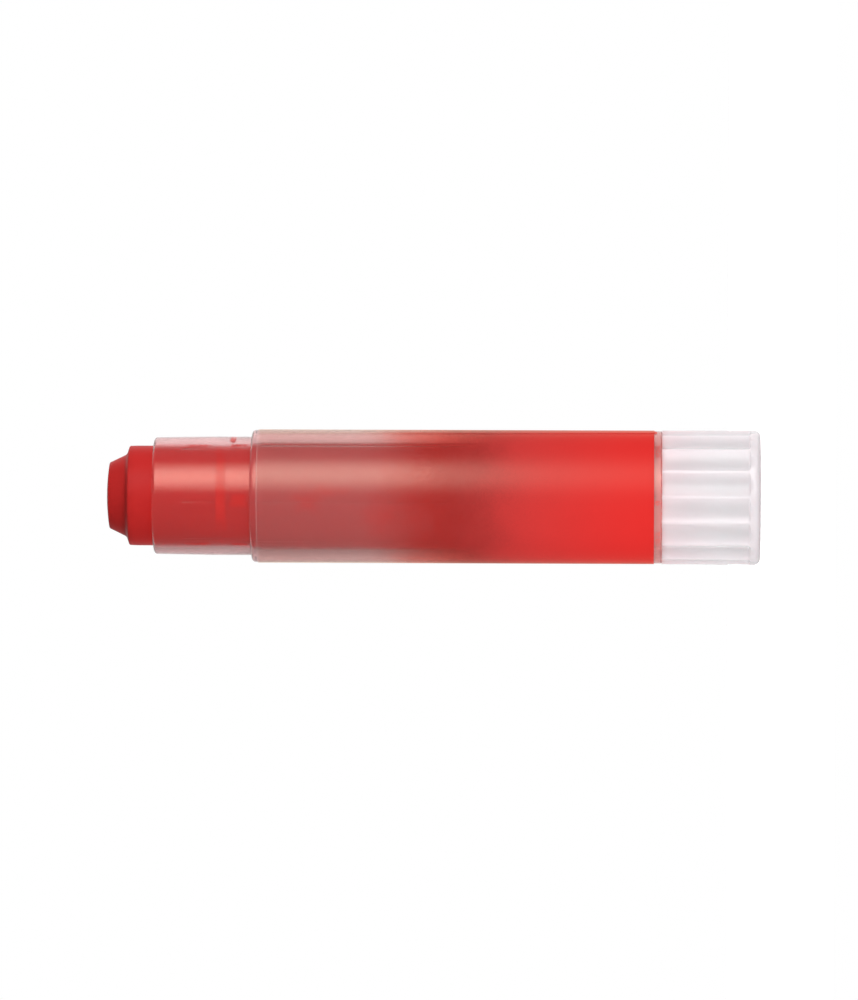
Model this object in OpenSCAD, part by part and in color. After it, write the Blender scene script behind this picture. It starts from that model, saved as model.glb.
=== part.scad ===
// Twist-up pigment stick. A fluted knob turns a left-hand screw, and the screw
// raises a keyed carrier cup and its pigment through a clear barrel.
// The stick stands on the base of its knob, with the tip along +Z.

/* [Pigment] */
// Diameter of the pigment stick
pigment_d = 12; // [10:0.1:14]
// Length of straight pigment that stands out of the neck
pigment_reveal = 2.96; // [1:0.02:6]
// Width of the ledge round the foot of the nose
nose_ledge = 1.04; // [0.6:0.02:1.6]
// Height of the nose from the ledge to its front edge
nose_h = 2.4; // [1.5:0.05:4]
// How far the nose draws in from its foot to its front edge
nose_taper = 1; // [0.4:0.05:2]
// Radius of the fillet at the foot of the nose
nose_fillet = 0.3; // [0.1:0.05:0.5]
// Rise of the domed front face
dome_h = 0.32; // [0.1:0.02:0.8]

/* [Barrel] */
// Length of the barrel below its shoulder
barrel_len = 49.1; // [44:0.1:60]
// Wall of the barrel round its bore
barrel_wall = 1.56; // [1.2:0.02:2.2]
// Radial step between the barrel bore and the neck bore
bore_step = 0.28; // [0.15:0.01:0.5]
// Length of the neck above the shoulder
neck_len = 11.75; // [9:0.05:16]
// Wall of the neck where the cap seats
neck_wall = 1.01; // [0.8:0.01:1.5]
// Length of the straight seat at the foot of the neck
seat_len = 4.6; // [3:0.1:6]
// How far the neck draws in from its seat to its mouth
neck_taper = 0.11; // [0.02:0.01:0.3]
// Depth of the wider bore inside the mouth
mouth_depth = 3.5; // [1:0.1:5]
// How much the mouth is wider than the neck bore, on the radius
mouth_step = 0.08; // [0.02:0.01:0.2]
// Height of the ring groove in the neck bore above the shoulder
ring_up = 3.05; // [2:0.05:5]
// Width of that ring groove
ring_w = 1; // [0.6:0.05:1.5]
// Depth of that ring groove
ring_depth = 0.3; // [0.1:0.05:0.5]
// Radius of the barrel's shoulder
shoulder_round = 0.5; // [0.2:0.05:0.8]
// Radius of the rim at the mouth
mouth_round = 0.4; // [0.15:0.05:0.45]

/* [Label film] */
// Thickness of the printed film
film_t = 0.05; // [0.03:0.01:0.1]
// Bare barrel left below the film
film_low = 0.87; // [0.4:0.01:2]
// Bare barrel left between the film and the shoulder
film_high = 0.76; // [0.6:0.02:2]
// Gap between the two ends of the film
film_seam = 0.3; // [0.1:0.05:1]
// Direction of the seam round the barrel
film_seam_at = -11; // [-180:1:180]

/* [Twist knob] */
// Height of the knob
knob_h = 11.7; // [10:0.1:15]
// Wall of the knob's skirt, flutes included
knob_wall = 1.15; // [0.95:0.05:1.5]
// How far the knob stands out past the film at its base
knob_proud = 0.05; // [0:0.01:0.3]
// Draw-in of the knob from its base to its rim
knob_draft = 0.05; // [0.01:0.01:0.15]
// Number of flutes
flute_count = 16; // [8:1:18]
// Depth of a flute
flute_depth = 0.45; // [0.2:0.05:0.6]
// Radius of a flute's hollow
flute_round = 2.2; // [1.6:0.1:2.6]
// Radius of the run-out at a flute's foot
flute_run_out = 0.7; // [0.3:0.05:1.2]
// Height of the smooth collar below the flutes
collar_h = 1.2; // [0.9:0.1:2.5]
// Radius at the base of the knob
base_round = 0.7; // [0.3:0.05:0.85]
// Thickness of the knob's floor
knob_floor = 1.4; // [1:0.1:2]
// Wall of the boss round the spindle's root
boss_wall = 1.15; // [0.8:0.05:1.8]
// Number of stiffening webs in the knob
web_count = 4; // [3:1:8]
// Height of the stiffening webs
web_h = 6.6; // [4:0.1:8]
// Thickness of a web
web_t = 0.8; // [0.5:0.1:1.2]

/* [Screw spindle] */
// Diameter of the screw over its thread
screw_d = 4.5; // [3.6:0.1:5.4]
// Depth of the thread
thread_depth = 0.75; // [0.4:0.05:0.9]
// Rise of the screw in one turn
thread_lead = 3; // [2.4:0.1:4]
// Width of the thread's crest
thread_crest = 0.8; // [0.5:0.05:1]
// Run of each sloped thread flank along the screw
thread_flank = 0.4; // [0.2:0.05:0.5]
// Height of the flange under the rim of the knob
flange_drop = 1.1; // [0.6:0.1:1.5]
// Thickness of the flange
flange_t = 1.5; // [1:0.1:2]
// Length of the hub inside the barrel
hub_len = 5.35; // [4.5:0.05:8]
// Wall of the hub
hub_wall = 1.2; // [0.8:0.1:1.6]
// Solid foot of the hub above the flange
hub_foot = 1; // [0.5:0.1:2]
// Height of the snap bead on the hub
bead_h = 0.25; // [0.1:0.05:0.35]
// Width of the bead's flat crest
bead_flat = 0.6; // [0.3:0.05:0.9]
// Distance from the top of the hub down to the middle of the bead
bead_down = 1.1; // [0.8:0.05:1.5]
// Number of slots that make the hub springy
hub_slots = 6; // [4:1:8]
// Width of a hub slot
hub_slot_w = 0.9; // [0.6:0.1:1.4]
// Height of the slots' foot above the end of the barrel
hub_slot_up = 0.6; // [0.3:0.1:2]
// Wall of the post round the foot of the screw
post_wall = 0.9; // [0.4:0.1:1.2]
// Distance across the corners of the spindle's hexagonal root
root_d = 4.4; // [3.6:0.1:5]

/* [Carrier cup] */
// Depth of the cup that holds the pigment
cup_depth = 5; // [4:0.1:8]
// Wall of the cup
cup_wall = 0.6; // [0.4:0.05:1]
// Thickness of the cup's floor
cup_floor = 1.2; // [0.8:0.1:2]
// Height of the nut, floor included
nut_h = 3.4; // [2.6:0.1:4.4]
// Wall of the nut outside its thread
nut_wall = 0.9; // [0.6:0.1:1.3]
// Number of keys that stop the cup turning
key_count = 4; // [2:1:6]
// Width of a key
key_w = 1.2; // [0.8:0.1:1.8]
// Height of a key
key_h = 2; // [1:0.1:3]
// Depth of the keyways in the barrel bore
key_depth = 0.45; // [0.3:0.05:0.6]
// How far the cup stands above its lowest place
cup_lift = 7; // [4:0.1:10]

/* [Clearances] */
// Radial gap between the pigment and the neck bore
pigment_gap = 0.1; // [0.05:0.01:0.2]
// Radial running gap between the hub and the barrel bore
hub_gap = 0.08; // [0.03:0.01:0.1]
// Gap between the rim of the knob and the barrel
knob_gap = 0.15; // [0.1:0.05:0.3]
// Gap round the thread inside the nut
thread_gap = 0.15; // [0.1:0.01:0.2]
// Gap round the screw inside the pigment
screw_gap = 0.25; // [0.15:0.05:0.4]
// Gap round a key in its keyway
key_gap = 0.15; // [0.1:0.01:0.2]
// Gap between the cup and its stops at both ends of its travel
stop_gap = 0.2; // [0.1:0.05:0.4]
// Radial gap between the flange and the knob's skirt
flange_gap = 0.1; // [0.05:0.05:0.2]
// Gap left between pieces that are pressed, cast or glued together
joint_gap = 0.02; // [0.01:0.01:0.03]

/* [Hidden] */
$fn = 96;

// Radii from the pigment outwards
pigment_r = pigment_d / 2;
neck_bore_r = pigment_r + pigment_gap;
mouth_bore_r = neck_bore_r + mouth_step;
bore_r = neck_bore_r + bore_step;
barrel_r = bore_r + barrel_wall;
neck_r = neck_bore_r + neck_wall;
film_r = barrel_r + joint_gap + film_t;
knob_r = film_r + knob_proud;
knob_rim_r = knob_r - knob_draft;
knob_bore_r = knob_rim_r - knob_wall;
keyway_r = bore_r + key_depth;
hub_r = bore_r - hub_gap;
screw_r = screw_d / 2;
core_r = screw_r - thread_depth;
nut_r = screw_r + thread_gap + nut_wall;
cup_r = pigment_r;
cup_bore_r = cup_r - cup_wall;
pigment_bore_r = screw_r + screw_gap;
post_r = screw_r + post_wall;
boss_r = root_d / 2 + boss_wall;

// Heights from the base upwards
flange_top = knob_h - flange_drop;
flange_low = flange_top - flange_t;
barrel_low = knob_h + knob_gap;
hub_top = barrel_low + hub_len;
shoulder = barrel_low + barrel_len;
bore_top = shoulder - neck_wall - bore_step;
mouth = shoulder + neck_len;
cup_low = hub_top + stop_gap + cup_lift;
cup_base = cup_low + cup_floor;
cup_top = cup_base + cup_depth;
nut_top = cup_low + nut_h;
travel_up = bore_top - stop_gap - cup_low - key_h;
screw_top = nut_top + travel_up;
pigment_bore_top = screw_top + cup_lift + screw_gap;
ledge = mouth + pigment_reveal;
nose_front = ledge + nose_h;

bead_at = hub_top - bead_down;

// Width of the small chamfers that break sharp edges
edge = 0.15;
// How far a cut runs past the face that it opens
over = 1;
// How far shapes of one piece reach into each other
sink = 0.3;
arc_steps = 8;
thread_steps = 24;

function arc(centre, radius, from, to) =
    [for (i = [0 : arc_steps])
        let (a = from + (to - from) * i / arc_steps)
        centre + radius * [cos(a), sin(a)]];

// Section of a ring that stands out from a wall: its crest is flat and its sides slope at 45 degrees
function ring_section(wall, height, middle, flat) = [
    [wall, middle - flat / 2 - height],
    [wall + height, middle - flat / 2],
    [wall + height, middle + flat / 2],
    [wall, middle + flat / 2 + height]
];

// Threaded rod with flat ends. The four edges of the thread run down the rod as the angle grows,
// which makes the screw left-handed, and every edge is clipped at the rod's two ends.
module threaded_rod(low, high, gap) {
    half_crest = thread_crest / 2 + gap;
    half_foot = half_crest + thread_flank;
    edge_z = [-half_foot, -half_crest, half_crest, half_foot];
    edge_r = [core_r, screw_r, screw_r, core_r] + gap * [1, 1, 1, 1];
    first = 4 * floor(low / thread_lead) - 4;
    last = 4 * ceil(high / thread_lead) + 12;
    rows = last - first + 1;

    function row_z(i, j) =
        thread_lead * (floor(j / 4) - i / thread_steps) + edge_z[j - 4 * floor(j / 4)];
    function radius_at(i, z) =
        let (turn = z / thread_lead + i / thread_steps)
        let (off = abs(turn - round(turn)) * thread_lead)
        lookup(off, [[half_crest, screw_r + gap], [half_foot, core_r + gap]]);
    function below(i) = first - 1 + len([for (j = [first : last]) if (row_z(i, j) <= low) j]);
    function above(i) = last + 1 - len([for (j = [first : last]) if (row_z(i, j) >= high) j]);
    function spot(i, j) =
        let (z = min(max(row_z(i, j), low), high))
        let (clipped = z == low || z == high)
        let (r = clipped ? radius_at(i, z) : edge_r[j - 4 * floor(j / 4)])
        [r * cos(360 * i / thread_steps), r * sin(360 * i / thread_steps), z];

    lowest = [for (i = [0 : thread_steps - 1]) below(i)];
    highest = [for (i = [0 : thread_steps - 1]) above(i)];
    function index(i, j) =
        i == thread_steps ? index(0, j - 4) : i * rows + min(max(j, lowest[i]), highest[i]) - first;

    grid = [for (i = [0 : thread_steps - 1]) for (j = [first : last]) spot(i, j)];
    ends = [[0, 0, low], [0, 0, high]];
    side = [for (i = [0 : thread_steps - 1]) for (j = [first : last - 1])
        let (a = index(i, j), b = index(i + 1, j), c = index(i + 1, j + 1), d = index(i, j + 1))
        each [if (a != d && c != d) [a, d, c], if (a != b && b != c) [a, c, b]]];
    caps = [for (i = [0 : thread_steps - 1]) each [
        [len(grid), index(i, first), index(i + 1, first + 4)],
        [len(grid) + 1, index(i + 1, last), index(i, last)]
    ]];
    polyhedron(points = concat(grid, ends), faces = concat(side, caps), convexity = 10);
}

// Bars that reach out from the axis, spread evenly
module spokes(count, width, reach, low, high) {
    for (i = [0 : count - 1])
        rotate(360 * (i + 0.5) / count)
            translate([0, -width / 2, low])
                cube([reach, width, high - low]);
}

// One flute's hollow, with a rounded run-out above the collar
module flute_cutter() {
    rotate_extrude()
        polygon(concat(
            [[0, collar_h]],
            arc([flute_round - flute_run_out, collar_h + flute_run_out], flute_run_out, -90, 0),
            [[flute_round, knob_h + over], [0, knob_h + over]]
        ));
}

module barrel() {
    bead_flat_room = bead_flat + 2 * hub_gap;
    neck_low = shoulder + edge;
    ring_mid = shoulder + ring_up + ring_w / 2;
    ring_flat = ring_w - 2 * ring_depth;
    color("mistyrose", 0.6)
        difference() {
            rotate_extrude()
                polygon(concat(
                    [[bore_r + edge, barrel_low], [barrel_r - edge, barrel_low], [barrel_r, barrel_low + edge]],
                    arc([barrel_r - shoulder_round, shoulder - shoulder_round], shoulder_round, 0, 90),
                    arc([neck_r + edge, neck_low], edge, 270, 180),
                    [[neck_r, neck_low + seat_len]],
                    arc([neck_r - neck_taper - mouth_round, mouth - mouth_round], mouth_round, 0, 90),
                    [[mouth_bore_r + edge, mouth], [mouth_bore_r, mouth - edge]],
                    [[mouth_bore_r, mouth - mouth_depth], [neck_bore_r, mouth - mouth_depth - mouth_step]],
                    [for (i = [3 : -1 : 0]) ring_section(neck_bore_r, ring_depth, ring_mid, ring_flat)[i]],
                    [[neck_bore_r, bore_top + bore_step], [bore_r, bore_top]],
                    [for (i = [3 : -1 : 0]) ring_section(bore_r, bead_h, bead_at, bead_flat_room)[i]],
                    [[bore_r, barrel_low + edge]]
                ));
            spokes(key_count, key_w + 2 * key_gap, keyway_r, barrel_low - over, bore_top);
        }
}

module label_film() {
    seam_angle = film_seam / film_r * 180 / PI;
    inner_r = barrel_r + joint_gap;
    color("crimson")
        rotate(film_seam_at + seam_angle / 2)
            rotate_extrude(angle = 360 - seam_angle)
                translate([inner_r, barrel_low + film_low])
                    square([film_t, barrel_len - film_low - film_high]);
}

module twist_knob() {
    socket_low = knob_floor + joint_gap;
    color("snow")
        difference() {
            union() {
                difference() {
                    rotate_extrude()
                        polygon(concat(
                            [[0, 0]],
                            arc([knob_r - base_round, base_round], base_round, 270, 360),
                            [[knob_rim_r, knob_h - edge], [knob_rim_r - edge, knob_h], [0, knob_h]]
                        ));
                    translate([0, 0, knob_floor])
                        cylinder(r = knob_bore_r, h = knob_h);
                    for (i = [0 : flute_count - 1])
                        rotate(360 * (i + 0.5) / flute_count)
                            translate([knob_r - flute_depth + flute_round, 0, 0])
                                flute_cutter();
                }
                translate([0, 0, knob_floor - sink])
                    cylinder(r = boss_r, h = flange_low - knob_floor + sink);
                spokes(web_count, web_t, knob_bore_r + sink, knob_floor - sink, web_h);
            }
            translate([0, 0, socket_low])
                cylinder(r = root_d / 2 + joint_gap, h = knob_h, $fn = 6);
        }
}

module screw_spindle() {
    color("whitesmoke") {
        translate([0, 0, knob_floor + 2 * joint_gap])
            cylinder(d = root_d, h = flange_low - knob_floor + sink, $fn = 6);
        translate([0, 0, flange_low])
            cylinder(r = knob_bore_r - flange_gap, h = flange_t);
        difference() {
            union() {
                translate([0, 0, flange_top - sink])
                    cylinder(r = hub_r, h = hub_top - flange_top + sink);
                rotate_extrude()
                    polygon(ring_section(hub_r - sink, bead_h + sink, bead_at, bead_flat));
            }
            difference() {
                union() {
                    translate([0, 0, flange_top + hub_foot])
                        cylinder(r = hub_r - hub_wall, h = hub_top - flange_top);
                    spokes(hub_slots, hub_slot_w, hub_r + over, barrel_low + hub_slot_up, hub_top + over);
                }
                cylinder(r = post_r, h = hub_top + 2 * over);
            }
        }
        threaded_rod(hub_top, screw_top, 0);
    }
}

module carrier_cup() {
    color("white")
        difference() {
            union() {
                difference() {
                    translate([0, 0, cup_low])
                        cylinder(r = cup_r, h = cup_floor + cup_depth);
                    translate([0, 0, cup_base])
                        cylinder(r = cup_bore_r, h = cup_depth + over);
                }
                translate([0, 0, cup_low])
                    cylinder(r = nut_r, h = nut_h);
                difference() {
                    spokes(key_count, key_w, keyway_r - key_gap, cup_low, cup_low + key_h);
                    cylinder(r = cup_r - cup_wall / 2, h = cup_top);
                }
            }
            threaded_rod(cup_low - over, nut_top + over, thread_gap);
        }
}

module pigment_stick() {
    nose_r = pigment_r - nose_ledge;
    front_r = nose_r - nose_taper;
    dome_r = (front_r * front_r + dome_h * dome_h) / (2 * dome_h);
    dome_half = asin(front_r / dome_r);
    boss_room = nut_r + joint_gap;
    spigot_r = cup_bore_r - joint_gap;
    color("firebrick")
        rotate_extrude()
            polygon(concat(
                [[boss_room, cup_base], [spigot_r, cup_base], [spigot_r, cup_top], [pigment_r, cup_top]],
                [[pigment_r, ledge]],
                arc([nose_r + nose_fillet, ledge + nose_fillet], nose_fillet, 270, 180),
                arc([0, nose_front + dome_h - dome_r], dome_r, 90 - dome_half, 90),
                [[0, pigment_bore_top], [pigment_bore_r, pigment_bore_top]],
                [[pigment_bore_r, nut_top + joint_gap], [boss_room, nut_top + joint_gap]]
            ));
}

barrel();
label_film();
twist_knob();
screw_spindle();
carrier_cup();
pigment_stick();
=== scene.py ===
import math

import bmesh
import bpy
from mathutils import Matrix, Vector, noise


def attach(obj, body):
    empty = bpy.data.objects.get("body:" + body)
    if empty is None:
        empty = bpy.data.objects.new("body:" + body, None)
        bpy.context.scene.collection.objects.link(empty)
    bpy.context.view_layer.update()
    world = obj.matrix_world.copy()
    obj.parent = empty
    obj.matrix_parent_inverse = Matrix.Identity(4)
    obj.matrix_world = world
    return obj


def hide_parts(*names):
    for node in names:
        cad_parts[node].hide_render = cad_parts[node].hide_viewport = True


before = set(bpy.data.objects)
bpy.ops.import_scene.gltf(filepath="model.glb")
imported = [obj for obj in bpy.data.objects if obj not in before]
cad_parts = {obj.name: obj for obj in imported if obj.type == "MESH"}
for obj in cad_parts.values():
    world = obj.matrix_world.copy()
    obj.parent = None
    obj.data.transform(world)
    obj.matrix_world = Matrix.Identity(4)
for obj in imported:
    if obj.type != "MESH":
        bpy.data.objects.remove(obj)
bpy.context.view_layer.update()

mm = 0.001
slack = 0.01  # mm, room for rounding where sizes are compared
scene = bpy.context.scene
scene.view_settings.view_transform = "Standard"
print("frame loaded:", ", ".join(sorted(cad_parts)))


def linear(hexColour):
    channels = [int(hexColour[i:i + 2], 16) / 255 for i in (1, 3, 5)]
    return [c / 12.92 if c <= 0.04045 else ((c + 0.055) / 1.055) ** 2.4 for c in channels] + [1.0]


# settings go to the socket of that name or number, or else to the node's own property
def addNode(tree, kind, settings=None, links=None):
    node = tree.nodes.new("ShaderNode" + kind)
    for name, value in (settings or {}).items():
        if isinstance(name, int) or name in node.inputs:
            node.inputs[name].default_value = value
        else:
            setattr(node, name, value)
    for name, source in (links or {}).items():
        tree.links.new(source, node.inputs[name])
    return node


def newMaterial(name):
    material = bpy.data.materials.new(name)
    material.use_nodes = True
    material.node_tree.nodes.clear()
    return material, material.node_tree


def smooth(low, high, value):
    t = min(max((value - low) / (high - low), 0.0), 1.0)
    return t * t * (3 - 2 * t)


# radius in mm, turn in degrees, height in mm
def polar(vert):
    x, y, z = vert.co
    return math.hypot(x, y) / mm, math.degrees(math.atan2(y, x)), z / mm


def onRing(radius, degrees, height):
    turn = math.radians(degrees)
    return Vector((radius * math.cos(turn), radius * math.sin(turn), height)) * mm


def tidyMesh(bm):
    bmesh.ops.remove_doubles(bm, verts=bm.verts, dist=0.001 * mm)  # far finer than any detail
    bmesh.ops.recalc_face_normals(bm, faces=bm.faces)


def spinRound(bm, verts, closed, steps):
    edges = [bm.edges.new(pair) for pair in zip(verts, verts[1:])]
    if closed:
        edges.append(bm.edges.new((verts[-1], verts[0])))
    bmesh.ops.spin(bm, geom=verts + edges, cent=(0, 0, 0), axis=(0, 0, 1),
                   angle=math.tau, steps=steps, use_merge=True)
    tidyMesh(bm)


# the outline is (radius, height) points, and closes itself unless it starts and ends on the axis
def lathe(outline, steps):
    bm = bmesh.new()
    verts = [bm.verts.new((r * mm, 0, z * mm)) for r, z in outline]
    spinRound(bm, verts, outline[0][0] > 0 or outline[-1][0] > 0, steps)
    return bm


# extrudes a loop of edges, and gives its new vertices and edges
def growRing(bm, edges):
    grown = bmesh.ops.extrude_edge_only(bm, edges=edges)["geom"]
    ring = {g for g in grown if isinstance(g, bmesh.types.BMVert)}
    ringEdges = [g for g in grown if isinstance(g, bmesh.types.BMEdge) and all(v in ring for v in g.verts)]
    return ring, ringEdges


def cutAcross(bm, height, normal=(0, 0, 1)):
    bmesh.ops.bisect_plane(bm, geom=bm.verts[:] + bm.edges[:] + bm.faces[:],
                           plane_co=(0, 0, height * mm), plane_no=normal)


def roundRing(bm, radius, height, size, segments):
    nearest = 0.004  # mm

    def onEdge(vert):
        r, _, z = polar(vert)
        return abs(r - radius) < nearest and abs(z - height) < nearest
    ring = [e for e in bm.edges if all(onEdge(v) for v in e.verts)]
    bmesh.ops.bevel(bm, geom=ring, offset=size * mm, offset_type="OFFSET", segments=segments,
                    profile=0.5, affect="EDGES", material=-1)


def finishPiece(bm, name, body, node, materials, sharpAngle=35):
    mesh = bpy.data.meshes.new(name)
    bm.to_mesh(mesh)
    bm.free()
    for polygon in mesh.polygons:
        polygon.use_smooth = True
    mesh.set_sharp_from_angle(angle=math.radians(sharpAngle))
    piece = bpy.data.objects.new(name, mesh)
    scene.collection.objects.link(piece)
    for material in materials:
        mesh.materials.append(material)
    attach(piece, body)
    if node:
        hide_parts(node)
    print(name, "made with", len(mesh.polygons), "faces")


# the camera is square on to the side of the stick, with the tip to the left; mm, and degrees of roll
view = {
    "distance": 1000, "lens": 300, "sensor": 36,
    "across": -0.42, "level": 13.4, "along": 39.72, "roll": 0.213,
}

cameraData = bpy.data.cameras.new("camera")
cameraData.lens = view["lens"]
cameraData.sensor_width = view["sensor"]
camera = bpy.data.objects.new("camera", cameraData)
scene.collection.objects.link(camera)
stand = Matrix.Translation(Vector((view["across"], -view["distance"], view["level"])) * mm)
tipLeft = Matrix(((0, 1, 0), (0, 0, -1), (-1, 0, 0))).to_4x4()
swing = Matrix.Rotation(math.atan2(view["along"] - view["level"], view["distance"]), 4, "Y")
roll = Matrix.Rotation(math.radians(view["roll"]), 4, "Z")
camera.matrix_world = stand @ tipLeft @ swing @ roll
scene.camera = camera


# the studio has a soft box above the camera, panels below, above and behind, and a white surround
studio = {
    # angles are from the camera's line of sight, upwards; lengths in metres
    "key": {"distance": 0.42, "from": 3, "to": 73, "low": -0.06, "high": 0.30, "radiance": 3.6},
    "panel": {"distance": 0.09, "from": -100, "to": -12, "low": 0.0, "high": 0.05, "radiance": 2.0},
    "top": {"distance": 0.12, "from": 55, "to": 125, "low": 0.0, "high": 0.08, "radiance": 0.65},
    "rear": {"distance": 0.4, "from": 140, "to": 220, "low": -0.02, "high": 0.22, "radiance": 1.6},
    # the surround's strength on each side, and the directions between which it changes
    "front": 0.15, "back": 0.9, "frontTill": 0.2, "backFrom": 0.85,
    "below": 0.4, "above": 1.1, "belowTill": -0.7, "aboveFrom": 0.1,
    "tableTop": "#F2F2F2", "tableLift": 0.9, "tableRadius": 0.4, "tableSides": 96,
}


def addLamp(name):
    lamp = studio[name]
    turn = math.radians((lamp["from"] + lamp["to"]) / 2)
    middle = Vector((0, 0, (lamp["low"] + lamp["high"]) / 2))
    place = middle + Vector((math.sin(turn), -math.cos(turn), 0)) * lamp["distance"]
    data = bpy.data.lights.new(name, "AREA")
    data.shape = "RECTANGLE"
    data.size = 2 * lamp["distance"] * math.tan(math.radians(lamp["to"] - lamp["from"]) / 2)
    data.size_y = lamp["high"] - lamp["low"]
    data.energy = 4 * data.size * data.size_y * lamp["radiance"]  # watts that give this radiance
    made = bpy.data.objects.new(name, data)
    made.location = place
    made.rotation_euler = (middle - place).to_track_quat("-Z", "Y").to_euler()
    made.visible_camera = False
    scene.collection.objects.link(made)
    return made


# the soft box fades from its middle to both long edges
key = addLamp("key")
key.data.use_nodes = True
tree = key.data.node_tree
tree.nodes.clear()
cloth = addNode(tree, "NewGeometry")
parts = addNode(tree, "SeparateXYZ", links={0: cloth.outputs["Parametric"]})
offset = addNode(tree, "Math", {"operation": "SUBTRACT", 1: 0.5}, {0: parts.outputs["X"]})
away = addNode(tree, "Math", {"operation": "ABSOLUTE"}, {0: offset.outputs[0]})
bell = addNode(tree, "MapRange", {"interpolation_type": "SMOOTHSTEP", "From Max": 0.5,
               "To Min": 1.0, "To Max": 0.0}, {"Value": away.outputs[0]})
glow = addNode(tree, "Emission", {"Color": linear("#FFFFFF")}, {"Strength": bell.outputs[0]})
addNode(tree, "OutputLight", links={"Surface": glow.outputs[0]})

# three panels lift the underside, the top edge and the back without highlights of their own
for name in ("panel", "top", "rear"):
    panel = addLamp(name)
    panel.visible_glossy = panel.visible_transmission = False
    panel.data.cycles.use_multiple_importance_sampling = False

# dark round the camera, white behind the stick and dimmer from below; seen straight on it is plain white
world = bpy.data.worlds.new("studio")
scene.world = world
world.use_nodes = True
tree = world.node_tree
tree.nodes.clear()
path = addNode(tree, "LightPath")
toward = addNode(tree, "TexCoord")
parts = addNode(tree, "SeparateXYZ", links={0: toward.outputs["Generated"]})
depth = addNode(tree, "MapRange", {"interpolation_type": "SMOOTHSTEP", "From Min": studio["frontTill"],
                "From Max": studio["backFrom"]}, {"Value": parts.outputs["Y"]})
upward = addNode(tree, "MapRange", {"interpolation_type": "SMOOTHSTEP", "From Min": studio["belowTill"],
                 "From Max": studio["aboveFrom"], "To Min": studio["below"], "To Max": studio["above"]},
                 {"Value": parts.outputs["X"]})
behind = addNode(tree, "Math", {"operation": "MULTIPLY"}, {0: depth.outputs[0], 1: upward.outputs[0]})
surround = addNode(tree, "MapRange", {"To Min": studio["front"], "To Max": studio["back"], "clamp": False},
                   {"Value": behind.outputs[0]})
around = addNode(tree, "Background", {"Color": linear("#FFFFFF")}, {"Strength": surround.outputs[0]})
beyond = addNode(tree, "Background", {"Color": linear("#FFFFFF")}, {"Strength": upward.outputs[0]})
white = addNode(tree, "Background", {"Color": linear("#FFFFFF"), "Strength": 1.0})
straight = addNode(tree, "Math", {"operation": "LESS_THAN", 1: 0.5}, {0: path.outputs["Glossy Depth"]})
through = addNode(tree, "Math", {"operation": "MULTIPLY"},
                  {0: path.outputs["Is Transmission Ray"], 1: straight.outputs[0]})
refracted = addNode(tree, "MixShader",
                    links={0: through.outputs[0], 1: around.outputs[0], 2: beyond.outputs[0]})
both = addNode(tree, "MixShader",
               links={0: path.outputs["Is Camera Ray"], 1: refracted.outputs[0], 2: white.outputs[0]})
addNode(tree, "OutputWorld", links={"Surface": both.outputs[0]})

# matt white table top; the camera sees it lifted to plain white, less the stick's shadow
floorMaterial, tree = newMaterial("matt white table")
path = addNode(tree, "LightPath")
matt = addNode(tree, "BsdfDiffuse", {"Color": linear(studio["tableTop"])})
lift = addNode(tree, "Emission", {"Color": linear("#FFFFFF"), "Strength": studio["tableLift"]})
lifted = addNode(tree, "AddShader", links={0: matt.outputs[0], 1: lift.outputs[0]})
shown = addNode(tree, "MixShader",
                links={0: path.outputs["Is Camera Ray"], 1: matt.outputs[0], 2: lifted.outputs[0]})
addNode(tree, "OutputMaterial", links={"Surface": shown.outputs[0]})

bm = bmesh.new()
bmesh.ops.create_circle(bm, cap_ends=True, segments=studio["tableSides"], radius=studio["tableRadius"])
floorMesh = bpy.data.meshes.new("table")
bm.to_mesh(floorMesh)
bm.free()
floorMesh.materials.append(floorMaterial)
table = bpy.data.objects.new("table", floorMesh)
table.visible_glossy = False
scene.collection.objects.link(table)
print("studio ready")


# in the looks below, heights and grain sizes are in mm, and a pair of numbers is a range

# Polypropylene, clear grade, moulded: water-clear but for a faint frosting and a pink tint, pinker and
# milkier at the bare foot
look = {
    "wall": "#FDCACA", "foot": "#FFB8B4", "footBand": (13.6, 12.8), "wallClear": 0.975, "footClear": 0.69,
    "shine": "#FFE8D4", "gluedShine": "#6E665E", "gluedBand": (60.3, 60.1), "lightThrough": "#FBE8E7",
    "frost": 0.35, "roughness": (0.11, 0.15), "wave": 2.5, "waveStrength": 0.06, "waveDepth": 0.02,
}
clearPlastic, tree = newMaterial("clear polypropylene")
path = addNode(tree, "LightPath")
place = addNode(tree, "TexCoord")
frost = addNode(tree, "TexNoise", {"Scale": 1 / (look["frost"] * mm), "Detail": 3.0},
                {"Vector": place.outputs["Object"]})
frosting = addNode(tree, "MapRange", {"To Min": look["roughness"][0], "To Max": look["roughness"][1]},
                   {"Value": frost.outputs["Fac"]})
wave = addNode(tree, "TexNoise", {"Scale": 1 / (look["wave"] * mm), "Detail": 2.0},
               {"Vector": place.outputs["Object"]})
bump = addNode(tree, "Bump", {"Strength": look["waveStrength"], "Distance": look["waveDepth"] * mm},
               {"Height": wave.outputs["Fac"]})
parts = addNode(tree, "SeparateXYZ", links={0: place.outputs["Object"]})
foot = addNode(tree, "MapRange", {"interpolation_type": "SMOOTHSTEP", "From Min": look["footBand"][0] * mm,
               "From Max": look["footBand"][1] * mm}, {"Value": parts.outputs["Z"]})
tint = addNode(tree, "Mix", {"data_type": "RGBA", "A": linear(look["wall"]), "B": linear(look["foot"])},
               {"Factor": foot.outputs[0]})
glassy = addNode(tree, "MapRange", {"To Min": look["wallClear"], "To Max": look["footClear"]},
                 {"Value": foot.outputs[0]})
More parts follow.
